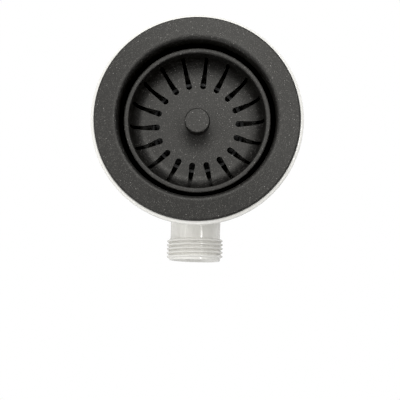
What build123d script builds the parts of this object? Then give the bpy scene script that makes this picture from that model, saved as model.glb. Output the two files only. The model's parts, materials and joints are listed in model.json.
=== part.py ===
from build123d import *

import os
from math import cos, radians, tan

# Basket strainer waste for a kitchen sink: a coated steel flange with a deep bowl, a lift-out basket
# that is also the plug, and a white moulded body with a side inlet for the overflow.
# Millimetres and degrees. The origin is on the waste's axis in the sink's top surface, +Z points up
# out of the drain, and the overflow inlet points along -Y.

# Flange and bowl, one coated pressing that laps onto the sink round its hole
flange_diameter = 114.0
sink_overlap = 12.0
sink_hole_clearance = 0.3
flange_edge_height = 1.6
flange_edge_radius = 1.0
flange_slope = 9.0
flange_sheet = 0.9
throat_radius = 2.5
bowl_straight_depth = 10.0
bowl_bend_radius = 10.0
bowl_foot_radius = 8.0
bowl_foot_inset = 2.4
seat_width = 14.1
drain_edge_radius = 1.6
well_draft = 1.5
well_corner_radius = 3.0
well_opening_count = 6
well_opening_width = 5.6
well_opening_sweep = 26.0

# Basket, a slotted pressing with a rolled rim
basket_side_clearance = 2.5
basket_sheet = 1.0
basket_rim_width = 3.2
basket_rim_height = 2.4
basket_rim_radius = 1.0
basket_rim_depth = 5.3
basket_depth = 16.7
basket_draft = 1.8
basket_corner_radius = 8.5
slot_count = 18
slot_width = 3.4
slot_outer_width = 1.3
slot_start_inset = 15.2
slot_rise = 8.5
slot_phase = 4.1

# Knob on the basket's pin
knob_diameter = 14.2
knob_height = 14.8
knob_head_height = 7.6
knob_neck_diameter = 8.4
knob_foot_diameter = 11.0
knob_foot_height = 1.4
knob_edge_radius = 0.8
knob_thread_depth = 8.0

# Stopper stack on the pin under the basket
pin_diameter = 6.0
pin_reach = 11.0
pin_tip_chamfer = 0.8
spacer_margin = 8.7
spacer_thickness = 8.5
seal_thickness = 3.0
seal_overlap = 5.4
seal_lip_height = 3.6
seal_lip_width = 2.3
seal_lip_radius = 0.6
seal_washer_margin = 6.5
seal_washer_thickness = 1.2
pin_nut_across_flats = 10.0
pin_nut_thickness = 3.2
catch_ring_wire = 1.1
catch_ring_offset = 3.0
catch_ring_clearance = 0.1
socket_clearance = 0.3

# Clamp bolt that pulls the bowl down onto the body
bolt_diameter = 12.0
bolt_head_diameter = 20.0
bolt_head_height = 4.5
bolt_length = 26.0
bolt_edge_chamfer = 0.8
bolt_slot_width = 2.2
bolt_slot_depth = 1.8
bolt_hole_clearance = 0.3
bolt_washer_thickness = 1.0
nut_to_bolt_gap = 2.6

# Gaskets each side of the sink, with the sink's own thickness taken out
gasket_gap = 0.3
gasket_clearance = 0.4
body_gasket_thickness = 2.5

# White body
body_rim_margin = 2.0
body_rim_lip = 1.8
body_rim_height = 4.7
body_rim_gap = 0.8
body_rim_crown_radius = 1.6
body_rim_edge_radius = 0.6
body_wall = 2.5
chamber_clearance = 0.8
chamber_draft = 1.5
chamber_corner_radius = 6.0
chamber_floor_slope = 14.0
gusset_count = 12
gusset_thickness = 2.0
gusset_height = 13.0
gusset_inset = 1.5

# Overflow inlet on the side of the body, sized for a G1 male thread
overflow_depth = 50.0
overflow_reach = 76.0
overflow_pipe_diameter = 29.4
overflow_core_diameter = 30.3
overflow_bore = 23.6
overflow_mouth_chamfer = 1.2
overflow_thread_length = 12.6
overflow_floor_margin = 4.0
overflow_root_radius = 2.0

# Main outlet under the body, sized for a G1 1/2 male thread
outlet_core_diameter = 44.8
outlet_bore = 39.0
outlet_length = 25.0
outlet_neck_length = 5.0
outlet_neck_diameter = 46.4
spigot_end_chamfer = 0.4

# Hub inside the body that holds the bolt's insert
hub_wall = 3.0
hub_gap = 1.0
hub_tail = 4.0
insert_diameter = 17.0
insert_length = 14.0
web_count = 4
web_thickness = 2.6
web_inset = 12.0
web_shoulder = 3.0
web_root = 1.0

# Radii that follow from the sizes above
flange_r = flange_diameter / 2
sink_hole_r = flange_r - sink_overlap
bowl_r = sink_hole_r - sink_hole_clearance - flange_sheet
basket_rim_r = bowl_r - basket_side_clearance
basket_wall_r = basket_rim_r - basket_rim_width / 2 - basket_sheet
basket_foot_r = basket_wall_r - basket_draft
slot_inner_r = basket_foot_r - slot_start_inset
slot_outer_r = basket_wall_r + basket_sheet
spacer_r = slot_inner_r - spacer_margin
bowl_foot_r = basket_foot_r + basket_sheet - bowl_foot_inset
drain_r = bowl_foot_r - seat_width
seal_r = drain_r + seal_overlap
seal_washer_r = drain_r - seal_washer_margin
well_floor_r = drain_r - well_draft
pin_r = pin_diameter / 2
socket_r = pin_r + socket_clearance
ring_wire_r = catch_ring_wire / 2
ring_r = socket_r - catch_ring_clearance - ring_wire_r
groove_r = ring_r - ring_wire_r - catch_ring_clearance
bolt_r = bolt_diameter / 2
bolt_head_r = bolt_head_diameter / 2
bolt_hole_r = bolt_r + bolt_hole_clearance
insert_r = insert_diameter / 2
hub_r = insert_r + hub_wall
body_rim_r = flange_r + body_rim_margin
recess_r = body_rim_r - body_rim_lip
chamber_r = bowl_r + flange_sheet + chamber_clearance
chamber_foot_r = chamber_r - chamber_draft
body_r = chamber_r + body_wall
body_foot_r = chamber_foot_r + body_wall
web_r = chamber_foot_r - web_inset
outlet_core_r = outlet_core_diameter / 2
outlet_bore_r = outlet_bore / 2
outlet_neck_r = outlet_neck_diameter / 2

# Heights that follow from the sizes above, from the top down
slope = radians(flange_slope)
throat_z = flange_edge_height + (flange_r - bowl_r) * tan(slope)
rim_z = -basket_rim_depth
rim_mid_z = rim_z - basket_rim_height / 2
floor_z = rim_z - basket_depth
floor_under_z = floor_z - basket_sheet
knob_top_z = floor_z + knob_height
knob_head_z = knob_top_z - knob_head_height
knob_foot_z = floor_z + knob_foot_height
pin_top_z = floor_z + knob_thread_depth
seal_top_z = floor_under_z - spacer_thickness
seat_z = seal_top_z - seal_thickness
seal_washer_z = seat_z - seal_washer_thickness
pin_nut_z = seal_washer_z - pin_nut_thickness
bolt_top_z = pin_nut_z - nut_to_bolt_gap
bolt_head_z = bolt_top_z - bolt_head_height
well_floor_z = bolt_head_z - bolt_washer_thickness
pin_tip_z = bolt_top_z - pin_reach
ring_z = pin_tip_z + catch_ring_offset
groove_half = ring_wire_r + catch_ring_clearance
hub_top_z = well_floor_z - flange_sheet - hub_gap
hub_end_z = hub_top_z - insert_length - hub_tail
recess_z = -gasket_gap - body_gasket_thickness
body_rim_top_z = -body_rim_gap
body_rim_under_z = body_rim_top_z - body_rim_height
chamber_floor_z = -overflow_depth - overflow_pipe_diameter / 2 - overflow_floor_margin
floor_fall = tan(radians(chamber_floor_slope))
chamber_drain_z = chamber_floor_z - (chamber_foot_r - outlet_bore_r) * floor_fall
outlet_top_z = chamber_drain_z - body_wall
outlet_end_z = outlet_top_z - outlet_length


def flange_underside(radius):
    """Height of the sloping ring's underside at a radius."""
    return flange_edge_height + (flange_r - radius) * tan(slope) - flange_sheet / cos(slope)


# Flange: the ring slopes down to its edge, the throat rolls over into the bowl, and the bowl narrows
# to a flat seat with a well below it
with BuildPart() as flange:
    with BuildSketch(Plane.XZ):
        with BuildLine():
            FilletPolyline(
                (flange_r, 0),
                (flange_r, flange_edge_height),
                (bowl_r, throat_z),
                (bowl_r, -bowl_straight_depth),
                (bowl_foot_r, seat_z),
                (drain_r, seat_z),
                (well_floor_r, well_floor_z),
                (bolt_hole_r, well_floor_z),
                radius=[
                    flange_edge_radius,
                    throat_radius,
                    bowl_bend_radius,
                    bowl_foot_radius,
                    drain_edge_radius,
                    well_corner_radius,
                ],
            )
            offset(amount=flange_sheet, side=Side.LEFT)
        make_face()
    revolve(axis=Axis.Z)
    # Curved openings in the well's floor let the water through round the bolt
    opening_r = (bolt_head_r + well_floor_r - well_corner_radius) / 2
    with BuildSketch(Plane.XY.offset(well_floor_z)):
        with PolarLocations(0, well_opening_count):
            SlotArc(CenterArc((0, 0), opening_r, 0, well_opening_sweep), well_opening_width)
    extrude(amount=-flange_sheet, mode=Mode.SUBTRACT)

# Upper gasket: a ring that fills the hollow under the sloping flange
with BuildPart() as flange_gasket:
    throat_reach = throat_radius * tan(radians(90 + flange_slope) / 2) * cos(slope)
    gasket_in = bowl_r + throat_reach + gasket_clearance
    gasket_out = flange_r - flange_edge_radius - gasket_clearance
    with BuildSketch(Plane.XZ):
        with BuildLine():
            Polyline(
                (gasket_in, -gasket_gap),
                (gasket_out, -gasket_gap),
                (gasket_out, flange_underside(gasket_out)),
                (gasket_in, flange_underside(gasket_in)),
                close=True,
            )
        make_face()
    revolve(axis=Axis.Z)

# Lower gasket: a flat ring in the recess of the body's rim
with BuildPart() as body_gasket:
    with BuildSketch(Plane.XY.offset(recess_z)):
        Circle(recess_r - gasket_clearance)
        Circle(chamber_r + gasket_clearance, mode=Mode.SUBTRACT)
    extrude(amount=body_gasket_thickness)

# Clamp bolt: a slotted head with a socket down its middle for the basket's pin
with BuildPart() as clamp_bolt:
    with BuildSketch(Plane.XY.offset(bolt_head_z)):
        Circle(bolt_head_r)
    extrude(amount=bolt_head_height)
    chamfer(clamp_bolt.edges().group_by(Axis.Z)[-1], bolt_edge_chamfer)
    with BuildSketch(Plane.XY.offset(bolt_head_z)):
        Circle(bolt_r)
    extrude(amount=-bolt_length)
    chamfer(clamp_bolt.edges().group_by(Axis.Z)[0], bolt_edge_chamfer)
    with BuildSketch(Plane.XY.offset(bolt_top_z)):
        Rectangle(bolt_head_diameter, bolt_slot_width)
    extrude(amount=-bolt_slot_depth, mode=Mode.SUBTRACT)
    with Locations((0, 0, bolt_top_z)):
        Hole(radius=socket_r, depth=pin_reach + pin_r)

# Sealing washer under the bolt's head
with BuildPart() as bolt_washer:
    with BuildSketch(Plane.XY.offset(well_floor_z)):
        Circle(bolt_head_r)
        Circle(bolt_hole_r, mode=Mode.SUBTRACT)
    extrude(amount=bolt_washer_thickness)

# Threaded insert moulded into the hub
with BuildPart() as threaded_insert:
    with BuildSketch(Plane.XY.offset(hub_top_z)):
        Circle(insert_r)
        Circle(bolt_r, mode=Mode.SUBTRACT)
    extrude(amount=-insert_length)

# Body: rim, chamber, overflow inlet, outlet and hub in one moulding
with BuildPart() as waste_body:
    # Outside of the rim, wall, sloping floor and outlet
    with BuildSketch(Plane.XZ):
        with BuildLine():
            outside = FilletPolyline(
                (body_r, body_rim_under_z),
                (body_foot_r, chamber_floor_z - body_wall),
                (outlet_neck_r, outlet_top_z),
                radius=chamber_corner_radius + body_wall,
            )
            Polyline(
                outside @ 1,
                (outlet_neck_r, outlet_top_z - outlet_neck_length),
                (outlet_core_r, outlet_top_z - outlet_neck_length),
                (outlet_core_r, outlet_end_z),
                (0, outlet_end_z),
                (0, body_rim_top_z),
                (body_rim_r, body_rim_top_z),
                (body_rim_r, body_rim_under_z),
                outside @ 0,
            )
        make_face()
    revolve(axis=Axis.Z)
    rim_edges = waste_body.edges().filter_by(GeomType.CIRCLE).group_by(SortBy.RADIUS)[-1]
    fillet(rim_edges.sort_by(Axis.Z)[-1], body_rim_crown_radius)
    rim_edges = waste_body.edges().filter_by(GeomType.CIRCLE).group_by(SortBy.RADIUS)[-1]
    fillet(rim_edges.sort_by(Axis.Z)[0], body_rim_edge_radius)
    # Overflow inlet: a plain pipe with a rounded root, then the core of its thread
    with BuildSketch(Plane.XZ):
        with Locations((0, -overflow_depth)):
            Circle(overflow_pipe_diameter / 2)
    extrude(amount=overflow_reach)
    pipe_root = waste_body.edges().filter_by(GeomType.BSPLINE)
    fillet(pipe_root, overflow_root_radius)
    overflow_end = Plane.XZ.offset(overflow_reach)
    with BuildSketch(overflow_end):
        with Locations((0, -overflow_depth)):
            Circle(overflow_core_diameter / 2)
    extrude(amount=-overflow_thread_length)
    chamfer(waste_body.edges().group_by(Axis.Y)[0], spigot_end_chamfer)
    chamfer(waste_body.edges().group_by(Axis.Z)[0], spigot_end_chamfer)
    # Gussets between the rim and the wall
    for index in range(gusset_count):
        with BuildSketch(Plane.XZ.rotated((0, 0, (index + 0.5) * 360 / gusset_count))):
            with BuildLine():
                Polyline(
                    (body_foot_r, body_rim_under_z),
                    (body_rim_r - gusset_inset, body_rim_under_z),
                    (body_foot_r, body_rim_under_z - gusset_height),
                    close=True,
                )
            make_face()
    extrude(amount=gusset_thickness / 2, both=True)
    # Inside of the gasket recess, chamber and outlet
    with BuildSketch(Plane.XZ):
        with BuildLine():
            inside = FilletPolyline(
                (chamber_r, recess_z),
                (chamber_foot_r, chamber_floor_z),
                (outlet_bore_r, chamber_drain_z),
                radius=chamber_corner_radius,
            )
            Polyline(
                inside @ 1,
                (outlet_bore_r, outlet_end_z),
                (0, outlet_end_z),
                (0, body_rim_top_z),
                (recess_r, body_rim_top_z),
                (recess_r, recess_z),
                inside @ 0,
            )
        make_face()
    revolve(axis=Axis.Z, mode=Mode.SUBTRACT)
    with BuildSketch(overflow_end):
        with Locations((0, -overflow_depth)):
            Circle(overflow_bore / 2)
    extrude(amount=-(overflow_reach - chamber_foot_r / 2), mode=Mode.SUBTRACT)
    end_edges = waste_body.edges().filter_by(GeomType.CIRCLE).group_by(Axis.Y)[0]
    chamfer(end_edges.sort_by(SortBy.RADIUS)[0], overflow_mouth_chamfer)
    # Hub on webs that stand on the chamber's floor round the outlet
    with BuildSketch(Plane.XY.offset(hub_top_z)):
        Circle(hub_r)
    extrude(amount=hub_end_z - hub_top_z)
    hub_mid_r = (hub_r + insert_r) / 2
    web_foot_z = chamber_floor_z - web_inset * floor_fall
    for index in range(web_count):
        with BuildSketch(Plane.XZ.rotated((0, 0, (index + 0.5) * 360 / web_count))):
            with BuildLine():
                Polyline(
                    (hub_mid_r, hub_top_z - web_shoulder),
                    (web_r, web_foot_z + web_shoulder),
                    (web_r, web_foot_z - web_root),
                    (outlet_bore_r + web_root, chamber_drain_z - web_root),
                    (hub_mid_r, hub_end_z),
                    close=True,
                )
            make_face()
    extrude(amount=web_thickness / 2, both=True)
    with Locations((0, 0, hub_top_z)):
        CounterBoreHole(bolt_hole_r, insert_r, insert_length, depth=hub_top_z - hub_end_z)

# Basket: tapered cup with a rolled rim, cut by slots that run out over the floor and up the wall, and
# narrow towards their upper ends
with BuildPart() as strainer_basket:
    with BuildSketch(Plane.XZ):
        with BuildLine():
            FilletPolyline(
                (basket_wall_r, rim_mid_z),
                (basket_foot_r, floor_z),
                (pin_r, floor_z),
                radius=basket_corner_radius,
            )
            offset(amount=basket_sheet, side=Side.LEFT)
        make_face()
        with Locations((basket_rim_r - basket_rim_width / 2, rim_mid_z)):
            RectangleRounded(basket_rim_width, basket_rim_height, basket_rim_radius)
    revolve(axis=Axis.Z)
    slot_start = slot_inner_r + slot_width / 2
    with BuildSketch(Plane.XY.offset(floor_under_z)):
        with PolarLocations(0, slot_count, start_angle=slot_phase):
            Polygon(
                (slot_start, -slot_width / 2),
                (slot_outer_r, -slot_outer_width / 2),
                (slot_outer_r, slot_outer_width / 2),
                (slot_start, slot_width / 2),
                align=None,
            )
            with Locations((slot_start, 0)):
                Circle(slot_width / 2)
    extrude(amount=basket_sheet + slot_rise, mode=Mode.SUBTRACT)

# Knob: a flat-topped head on a neck, with a blind threaded hole for the pin
with BuildPart() as basket_knob:
    with BuildSketch(Plane.XZ):
        with BuildLine():
            Polyline(
                (pin_r, floor_z),
                (knob_foot_diameter / 2, floor_z),
                (knob_foot_diameter / 2, knob_foot_z),
                (knob_neck_diameter / 2, knob_foot_z),
                (knob_neck_diameter / 2, knob_head_z),
                (knob_diameter / 2, knob_head_z),
                (knob_diameter / 2, knob_top_z),
                (0, knob_top_z),
                (0, pin_top_z),
                (pin_r, pin_top_z),
                close=True,
            )
        make_face()
    revolve(axis=Axis.Z)
    fillet(basket_knob.edges().filter_by(GeomType.CIRCLE).group_by(SortBy.RADIUS)[-1], knob_edge_radius)

# Pin: from the knob down through the stack, with a groove for the catch ring near its tip
with BuildPart() as basket_pin:
    with BuildSketch(Plane.XZ):
        with BuildLine():
            Polyline(
                (0, pin_top_z),
                (pin_r, pin_top_z),
                (pin_r, ring_z + groove_half),
                (groove_r, ring_z + groove_half),
                (groove_r, ring_z - groove_half),
                (pin_r, ring_z - groove_half),
                (pin_r, pin_tip_z),
                (0, pin_tip_z),
                close=True,
            )
        make_face()
    revolve(axis=Axis.Z)
    chamfer(basket_pin.edges().group_by(Axis.Z)[0], pin_tip_chamfer)

# Thick spacer disc between the basket's floor and the seal
with BuildPart() as spacer_disc:
    with BuildSketch(Plane.XY.offset(floor_under_z)):
        Circle(spacer_r)
        Circle(pin_r, mode=Mode.SUBTRACT)
    extrude(amount=-spacer_thickness)

# Stopper seal: a dish that lies flat on the bowl's seat, with a lip round its edge
with BuildPart() as stopper_seal:
    with BuildSketch(Plane.XY.offset(seat_z)):
        Circle(seal_r)
    extrude(amount=seal_thickness)
    with BuildSketch(Plane.XY.offset(seal_top_z)):
        Circle(seal_r)
        Circle(seal_r - seal_lip_width, mode=Mode.SUBTRACT)
    extrude(amount=seal_lip_height)
    fillet(stopper_seal.edges().group_by(Axis.Z)[-1], seal_lip_radius)
    with Locations((0, 0, seal_top_z)):
        Hole(radius=pin_r, depth=seal_thickness)

# Washer under the seal
with BuildPart() as seal_washer:
    with BuildSketch(Plane.XY.offset(seat_z)):
        Circle(seal_washer_r)
        Circle(pin_r, mode=Mode.SUBTRACT)
    extrude(amount=-seal_washer_thickness)

# Hexagon nut that holds the stack on the pin
with BuildPart() as pin_nut:
    with BuildSketch(Plane.XY.offset(seal_washer_z)):
        RegularPolygon(pin_nut_across_flats / 2, 6, major_radius=False)
        Circle(pin_r, mode=Mode.SUBTRACT)
    extrude(amount=-pin_nut_thickness)

# Catch ring in the pin's groove
with BuildPart() as catch_ring:
    with BuildSketch(Plane.XZ):
        with Locations((ring_r, ring_z)):
            Circle(ring_wire_r)
    revolve(axis=Axis.Z)

# Each piece goes out under its own name
pieces = {
    "flange": flange,
    "flange_gasket": flange_gasket,
    "body_gasket": body_gasket,
    "clamp_bolt": clamp_bolt,
    "bolt_washer": bolt_washer,
    "threaded_insert": threaded_insert,
    "waste_body": waste_body,
    "strainer_basket": strainer_basket,
    "basket_knob": basket_knob,
    "basket_pin": basket_pin,
    "spacer_disc": spacer_disc,
    "stopper_seal": stopper_seal,
    "seal_washer": seal_washer,
    "pin_nut": pin_nut,
    "catch_ring": catch_ring,
}
os.makedirs("parts", exist_ok=True)
for name, piece in pieces.items():
    piece.part.label = name
    export_step(piece.part, f"parts/{name}.step")
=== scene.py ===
"""Looks for a basket strainer sink waste: coating, mouldings, pipe threads, studio and camera."""

import json
import math

import bpy
from mathutils import Matrix, Vector


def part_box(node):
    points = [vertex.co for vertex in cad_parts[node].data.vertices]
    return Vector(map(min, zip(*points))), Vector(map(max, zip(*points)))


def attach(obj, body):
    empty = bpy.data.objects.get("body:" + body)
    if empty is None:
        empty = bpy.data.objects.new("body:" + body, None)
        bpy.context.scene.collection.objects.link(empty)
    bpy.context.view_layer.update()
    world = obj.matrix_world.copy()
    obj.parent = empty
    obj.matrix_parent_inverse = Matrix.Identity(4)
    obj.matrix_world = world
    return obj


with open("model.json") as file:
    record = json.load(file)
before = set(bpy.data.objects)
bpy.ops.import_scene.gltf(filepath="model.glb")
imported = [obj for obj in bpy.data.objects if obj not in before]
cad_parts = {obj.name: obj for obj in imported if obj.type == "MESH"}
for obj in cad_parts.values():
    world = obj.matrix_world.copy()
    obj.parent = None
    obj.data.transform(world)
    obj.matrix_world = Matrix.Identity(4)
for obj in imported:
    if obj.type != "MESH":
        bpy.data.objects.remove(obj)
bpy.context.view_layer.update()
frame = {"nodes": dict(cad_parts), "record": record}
nodes = frame["nodes"]
MM = 0.001

# Camera, fitted to the outlines in the photograph. Lengths are in metres, from the frame's origin
PHOTO_PIXELS = 400
FOCAL_PIXELS = 904
SENSOR_MM = 36.0
CAMERA_TARGET = Vector((0.0031, -0.0457, 0.0))
CAMERA_DISTANCE = 0.492
CAMERA_AZIMUTH = 8.66
CAMERA_ELEVATION = 82.78
CAMERA_ROLL = -6.92

# Pipe threads. Core radii and ends are the solids' own
THREAD_PITCH = 2.309 * MM
THREAD_SINK = 0.25 * MM
# Half of the ridge's section: pitches from its middle, and share of its height
THREAD_FLANK = ((0.46, 0.0), (0.19, 0.84), (0.13, 0.95), (0.06, 1.0))
# Points to each turn
THREAD_STEPS = 96
# The ridge grows from a share of its height to the whole of it over this part of a turn
THREAD_START_SHARE = 0.15
THREAD_FADE_TURNS = 0.35
# Room for the ridge's foot past its last turn, in pitches
THREAD_END_ROOM = 0.5
OVERFLOW_CREST_RADIUS = 16.62 * MM
OVERFLOW_CORE_RADIUS = 15.15 * MM
OVERFLOW_AXIS_Z = -50.0 * MM
OVERFLOW_TURNS = 5.0
OUTLET_CREST_RADIUS = 23.9 * MM
OUTLET_CORE_RADIUS = 22.4 * MM
OUTLET_TURNS = 7.6
THREAD_LEAD_IN = 0.05 * MM
THREAD_PHASE = math.radians(-90)

SMOOTH_ANGLE = math.radians(32)

# Studio light and picture tones
SKY_LIGHT = 0.30
BACKDROP_WHITE = 1.0
FLOOR_HALF_WIDTH = 3.0
LAMP_AIM = Vector((0.0, 0.0, 0.0))
PICTURE_GAMMA = 0.85
PICTURE_BLACK = 0.007

# Sockets of the Mix node that carry colours
MIX_COLOUR_INPUTS = (6, 7)
MIX_COLOUR_RESULT = 2


# Shader helpers


def new_material(name):
    """A material with an empty Principled surface, and its node tree."""
    material = bpy.data.materials.new(name)
    material.use_nodes = True
    tree = material.node_tree
    surface = tree.nodes["Principled BSDF"]
    return material, tree, surface


def add_node(tree, kind, **inputs):
    """Adds a shader node and sets inputs by name; spaces in names are written as underscores."""
    made = tree.nodes.new(kind)
    for key, value in inputs.items():
        made.inputs[key.replace("_", " ")].default_value = value
    return made


def object_space(tree):
    """Coordinates in metres that stay with each piece."""
    return tree.nodes.new("ShaderNodeTexCoord").outputs["Object"]


def noise(tree, place, scale, detail=2.0, roughness=0.5):
    """Smooth noise with the given number of waves to the metre."""
    made = add_node(tree, "ShaderNodeTexNoise", Scale=scale, Detail=detail, Roughness=roughness)
    tree.links.new(place, made.inputs["Vector"])
    return made.outputs["Fac"]


def math_node(tree, operation, first, second):
    """One arithmetic step on sockets or numbers."""
    made = tree.nodes.new("ShaderNodeMath")
    made.operation = operation
    for socket, value in zip(made.inputs, (first, second)):
        if isinstance(value, (int, float)):
            socket.default_value = value
        else:
            tree.links.new(value, socket)
    return made.outputs["Value"]


def remap(tree, value, low, high, from_low=0.3, from_high=0.7):
    """Spreads a noise value over a range."""
    made = add_node(tree, "ShaderNodeMapRange", To_Min=low, To_Max=high)
    made.inputs["From Min"].default_value = from_low
    made.inputs["From Max"].default_value = from_high
    tree.links.new(value, made.inputs["Value"])
    return made.outputs["Result"]


def blend_colours(tree, factor, first, second):
    """Mixes two colours, each a socket or four numbers, by a factor socket."""
    made = tree.nodes.new("ShaderNodeMix")
    made.data_type = "RGBA"
    tree.links.new(factor, made.inputs["Factor"])
    for index, value in zip(MIX_COLOUR_INPUTS, (first, second)):
        socket = made.inputs[index]
        if isinstance(value, tuple):
            socket.default_value = value
        else:
            tree.links.new(value, socket)
    return made.outputs[MIX_COLOUR_RESULT]


def bump(tree, surface, height, strength, distance):
    """Fine relief on the surface."""
    made = add_node(tree, "ShaderNodeBump", Strength=strength, Distance=distance)
    tree.links.new(height, made.inputs["Height"])
    tree.links.new(made.outputs["Normal"], surface.inputs["Normal"])


def flecks(tree, place, cell, radius, share):
    """Mask of small grains: one in each cell of that size in metres, kept for a share of the cells."""
    cells = add_node(tree, "ShaderNodeTexVoronoi", Scale=1.0 / cell)
    tree.links.new(place, cells.inputs["Vector"])
    near = add_node(tree, "ShaderNodeMapRange", From_Min=radius / cell, From_Max=0.5 * radius / cell)
    tree.links.new(cells.outputs["Distance"], near.inputs["Value"])
    split = tree.nodes.new("ShaderNodeSeparateColor")
    tree.links.new(cells.outputs["Color"], split.inputs["Color"])
    kept = math_node(tree, "LESS_THAN", split.outputs["Red"], share)
    shade = math_node(tree, "MULTIPLY", kept, split.outputs["Green"])
    return math_node(tree, "MULTIPLY", near.outputs["Result"], shade)


# Materials


def granite_coat():
    """Charcoal coating with pale mineral flecks and a fine satin grain."""
    material, tree, surface = new_material("granite_coat")
    place = object_space(tree)
    black = (0.001, 0.00095, 0.0009, 1)
    soot = (0.003, 0.0029, 0.0028, 1)
    charcoal = (0.024, 0.0232, 0.0221, 1)
    dust_grey = (0.30, 0.29, 0.27, 1)
    chip_white = (0.80, 0.78, 0.74, 1)
    tone = remap(tree, noise(tree, place, 160, detail=3), 0, 1)
    grain = remap(tree, noise(tree, place, 900, detail=4, roughness=0.7), 0, 1)
    cloud = blend_colours(tree, tone, black, soot)
    body = blend_colours(tree, grain, cloud, charcoal)
    dust = flecks(tree, place, cell=0.5 * MM, radius=0.15 * MM, share=0.85)
    dusted = blend_colours(tree, dust, body, dust_grey)
    chips = flecks(tree, place, cell=1.1 * MM, radius=0.17 * MM, share=0.55)
    coat = blend_colours(tree, chips, dusted, chip_white)
    tree.links.new(coat, surface.inputs["Base Color"])
    surface.inputs["Specular IOR Level"].default_value = 0.73
    surface.inputs["Specular Tint"].default_value = (1.0, 0.985, 0.94, 1)
    tree.links.new(remap(tree, grain, 0.43, 0.56, 0, 1), surface.inputs["Roughness"])
    bump(tree, surface, noise(tree, place, 1000, detail=3), strength=0.6, distance=0.10 * MM)
    return material


def white_plastic():
    """Ivory white moulding with a soft gloss and faint flow marks."""
    material, tree, surface = new_material("white_plastic")
    place = object_space(tree)
    flow = remap(tree, noise(tree, place, 70, detail=4), 0, 1)
    colour = blend_colours(tree, flow, (0.83, 0.82, 0.785, 1), (0.87, 0.86, 0.825, 1))
    tree.links.new(colour, surface.inputs["Base Color"])
    skin = noise(tree, place, 900, detail=2)
    tree.links.new(remap(tree, skin, 0.10, 0.15), surface.inputs["Roughness"])
    bump(tree, surface, skin, strength=0.01, distance=0.05 * MM)
    return material


def black_rubber():
    """Moulded rubber, matt with a dusty bloom."""
    material, tree, surface = new_material("black_rubber")
    place = object_space(tree)
    bloom = remap(tree, noise(tree, place, 240, detail=4), 0, 1)
    colour = blend_colours(tree, bloom, (0.065, 0.065, 0.066, 1), (0.105, 0.105, 0.103, 1))
    tree.links.new(colour, surface.inputs["Base Color"])
    tree.links.new(remap(tree, bloom, 0.42, 0.6, 0, 1), surface.inputs["Roughness"])
    bump(tree, surface, noise(tree, place, 2200), strength=0.2, distance=0.05 * MM)
    return material


def turned_metal(name, dark, light, low_gloss, high_gloss):
    """Metal with the fine rings that a lathe leaves round the waste's axis."""
    material, tree, surface = new_material(name)
    place = object_space(tree)
    rings = add_node(tree, "ShaderNodeTexWave", Scale=900, Distortion=1.5, Detail=2)
    rings.wave_type = "RINGS"
    rings.rings_direction = "Z"
    tree.links.new(place, rings.inputs["Vector"])
    stain = remap(tree, noise(tree, place, 180, detail=3), 0, 1)
    tree.links.new(blend_colours(tree, stain, dark, light), surface.inputs["Base Color"])
    gloss = remap(tree, rings.outputs["Fac"], low_gloss, high_gloss, 0, 1)
    tree.links.new(gloss, surface.inputs["Roughness"])
    surface.inputs["Metallic"].default_value = 1.0
    bump(tree, surface, rings.outputs["Fac"], strength=0.08, distance=0.03 * MM)
    return material


def grey_plastic():
    """Plain engineering plastic for hidden washers and spacers."""
    material, tree, surface = new_material("grey_plastic")
    place = object_space(tree)
    flow = remap(tree, noise(tree, place, 120, detail=3), 0, 1)
    colour = blend_colours(tree, flow, (0.10, 0.10, 0.10, 1), (0.14, 0.14, 0.135, 1))
    tree.links.new(colour, surface.inputs["Base Color"])
    tree.links.new(remap(tree, flow, 0.45, 0.6, 0, 1), surface.inputs["Roughness"])
    bump(tree, surface, noise(tree, place, 1200), strength=0.1, distance=0.05 * MM)
    return material


materials = {
    "granite_coat": granite_coat(),
    "white_plastic": white_plastic(),
    "black_rubber": black_rubber(),
    "steel": turned_metal("steel", (0.50, 0.50, 0.51, 1), (0.62, 0.62, 0.62, 1), 0.22, 0.36),
    "brass": turned_metal("brass", (0.56, 0.40, 0.16, 1), (0.70, 0.52, 0.24, 1), 0.25, 0.40),
    "grey_plastic": grey_plastic(),
}


def finish_mesh(mesh, slot_name):
    """Gives a mesh its slot's material and rounds its shading over all but its true edges."""
    mesh.materials.clear()
    mesh.materials.append(materials[slot_name])
    mesh.shade_smooth()
    mesh.set_sharp_from_angle(angle=SMOOTH_ANGLE)


for part in frame["record"]["subparts"]:
    finish_mesh(nodes[part["node"]].data, part["material_slot"])


# Pipe threads: one helical ridge on each spigot, sunk a little into its core


def thread_profile(core, crest):
    """Section of the ridge as (offset along the axis in pitches, radius), from one foot over the crest."""
    rising = [(-offset, core + share * (crest - core)) for offset, share in THREAD_FLANK]
    falling = [(-offset, radius) for offset, radius in reversed(rising)]
    foot = core - THREAD_SINK
    return [(rising[0][0], foot), *rising, *falling, (falling[-1][0], foot)]


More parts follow.
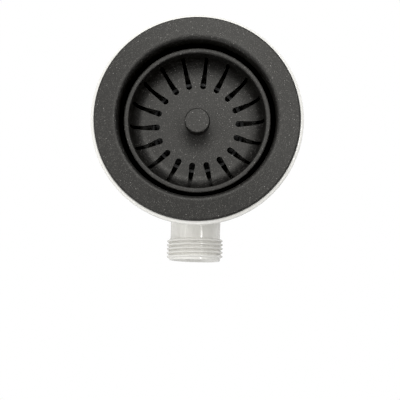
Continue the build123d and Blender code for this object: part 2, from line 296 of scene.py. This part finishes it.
def thread_ridge(name, core, crest, turns, placement):
    """A right-hand ridge that winds along +Z from the origin and fades out at both ends."""
    section = thread_profile(core, crest)
    steps = round(turns * THREAD_STEPS)
    floor_radius = core - THREAD_SINK
    points = []
    for step in range(steps + 1):
        turn = step / THREAD_STEPS
        from_end = min(turn, turns - turn)
        height = min(1.0, THREAD_START_SHARE + from_end / THREAD_FADE_TURNS)
        angle = 2 * math.pi * turn + THREAD_PHASE
        for offset, radius in section:
            reach = floor_radius + (radius - floor_radius) * height
            along = (turn + offset) * THREAD_PITCH
            points.append((reach * math.cos(angle), reach * math.sin(angle), along))
    size = len(section)
    faces = [list(range(size))]
    for step in range(steps):
        start = step * size
        for side in range(size):
            following = (side + 1) % size
            faces.append([start + side, start + size + side, start + size + following, start + following])
    faces.append([steps * size + side for side in reversed(range(size))])
    mesh = bpy.data.meshes.new(name)
    mesh.from_pydata(points, [], faces)
    mesh.transform(placement)
    mesh.validate()
    finish_mesh(mesh, "white_plastic")
    ridge = bpy.data.objects.new(name, mesh)
    bpy.context.scene.collection.objects.link(ridge)
    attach(ridge, "waste")


body_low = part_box("waste_body")[0]
overflow_start = body_low.y + THREAD_LEAD_IN + (OVERFLOW_TURNS + THREAD_END_ROOM) * THREAD_PITCH
outlet_start = body_low.z + THREAD_LEAD_IN + (OUTLET_TURNS + THREAD_END_ROOM) * THREAD_PITCH
thread_ridge(
    "overflow_thread",
    OVERFLOW_CORE_RADIUS,
    OVERFLOW_CREST_RADIUS,
    OVERFLOW_TURNS,
    Matrix.Translation((0, overflow_start, OVERFLOW_AXIS_Z)) @ Matrix.Rotation(math.radians(90), 4, "X"),
)
thread_ridge(
    "outlet_thread",
    OUTLET_CORE_RADIUS,
    OUTLET_CREST_RADIUS,
    OUTLET_TURNS,
    Matrix.Translation((0, 0, outlet_start)) @ Matrix.Rotation(math.radians(180), 4, "X"),
)


# Studio: a pale floor that the camera doesn't see, a white sky and soft lamps


def studio_floor():
    """A wide plain floor under the outlet, which throws light back up but leaves the backdrop white."""
    half = FLOOR_HALF_WIDTH
    level = body_low.z
    mesh = bpy.data.meshes.new("floor")
    corners = [(-half, -half, level), (half, -half, level), (half, half, level), (-half, half, level)]
    mesh.from_pydata(corners, [], [[0, 1, 2, 3]])
    material, tree, surface = new_material("floor_paint")
    place = object_space(tree)
    patch = remap(tree, noise(tree, place, 6, detail=2), 0, 1)
    paint = blend_colours(tree, patch, (0.84, 0.84, 0.84, 1), (0.86, 0.86, 0.86, 1))
    tree.links.new(paint, surface.inputs["Base Color"])
    surface.inputs["Roughness"].default_value = 0.9
    mesh.materials.append(material)
    floor = bpy.data.objects.new("floor", mesh)
    bpy.context.scene.collection.objects.link(floor)
    floor.visible_camera = False


def sky():
    """A backdrop that looks white but gives only a little light."""
    world = bpy.data.worlds.new("studio_sky")
    world.use_nodes = True
    tree = world.node_tree
    background = tree.nodes["Background"]
    background.inputs["Color"].default_value = (1.0, 1.0, 1.0, 1)
    seen = tree.nodes.new("ShaderNodeLightPath").outputs["Is Camera Ray"]
    tree.links.new(remap(tree, seen, SKY_LIGHT, BACKDROP_WHITE, 0, 1), background.inputs["Strength"])
    bpy.context.scene.world = world


def lamp(name, place, width, height, watts):
    """A rectangular soft lamp that faces the part. Lengths are in metres."""
    light = bpy.data.lights.new(name, "AREA")
    light.shape = "RECTANGLE"
    light.size = width
    light.size_y = height
    light.energy = watts
    holder = bpy.data.objects.new(name, light)
    place = Vector(place)
    holder.location = place
    holder.rotation_euler = (LAMP_AIM - place).to_track_quat("-Z", "Y").to_euler()
    bpy.context.scene.collection.objects.link(holder)


studio_floor()
sky()
lamp("back_lamp", place=(0.04, 0.50, 1.0), width=0.7, height=0.4, watts=5.4)
lamp("far_lamp", place=(0.0, 0.90, 0.9), width=0.7, height=0.4, watts=1.7)
lamp("left_lamp", place=(-0.60, 0.0, 0.95), width=1.0, height=0.8, watts=3.3)
lamp("low_left_lamp", place=(-0.95, 0.0, 0.55), width=0.6, height=0.6, watts=1.3)
lamp("right_lamp", place=(0.55, 0.0, 0.95), width=0.6, height=0.10, watts=3.1)
lamp("front_lamp", place=(-0.35, -0.95, 0.25), width=0.8, height=0.3, watts=1.9)
lamp("top_lamp", place=(-0.04, -0.40, 1.0), width=0.5, height=0.4, watts=0.9)


# Camera


def photo_camera():
    """Looks at the target from the photograph's side, turned about its own axis by the roll."""
    azimuth = math.radians(CAMERA_AZIMUTH)
    elevation = math.radians(CAMERA_ELEVATION)
    level = math.cos(elevation)
    back = Vector((math.sin(azimuth) * level, -math.cos(azimuth) * level, math.sin(elevation)))
    right = Vector((math.cos(azimuth), math.sin(azimuth), 0))
    up = back.cross(right)
    facing = Matrix((right, up, back)).transposed().to_4x4()
    roll = Matrix.Rotation(math.radians(CAMERA_ROLL), 4, "Z")
    data = bpy.data.cameras.new("photo_camera")
    data.sensor_width = SENSOR_MM
    data.lens = SENSOR_MM * FOCAL_PIXELS / PHOTO_PIXELS
    camera = bpy.data.objects.new("photo_camera", data)
    camera.matrix_world = Matrix.Translation(CAMERA_TARGET + CAMERA_DISTANCE * back) @ facing @ roll
    bpy.context.scene.collection.objects.link(camera)
    bpy.context.scene.camera = camera


photo_camera()
tones = bpy.context.scene.view_settings
tones.view_transform = "Standard"
tones.gamma = PICTURE_GAMMA
tones.use_curve_mapping = True
tones.curve_mapping.black_level = (PICTURE_BLACK,) * 3
tones.curve_mapping.update()
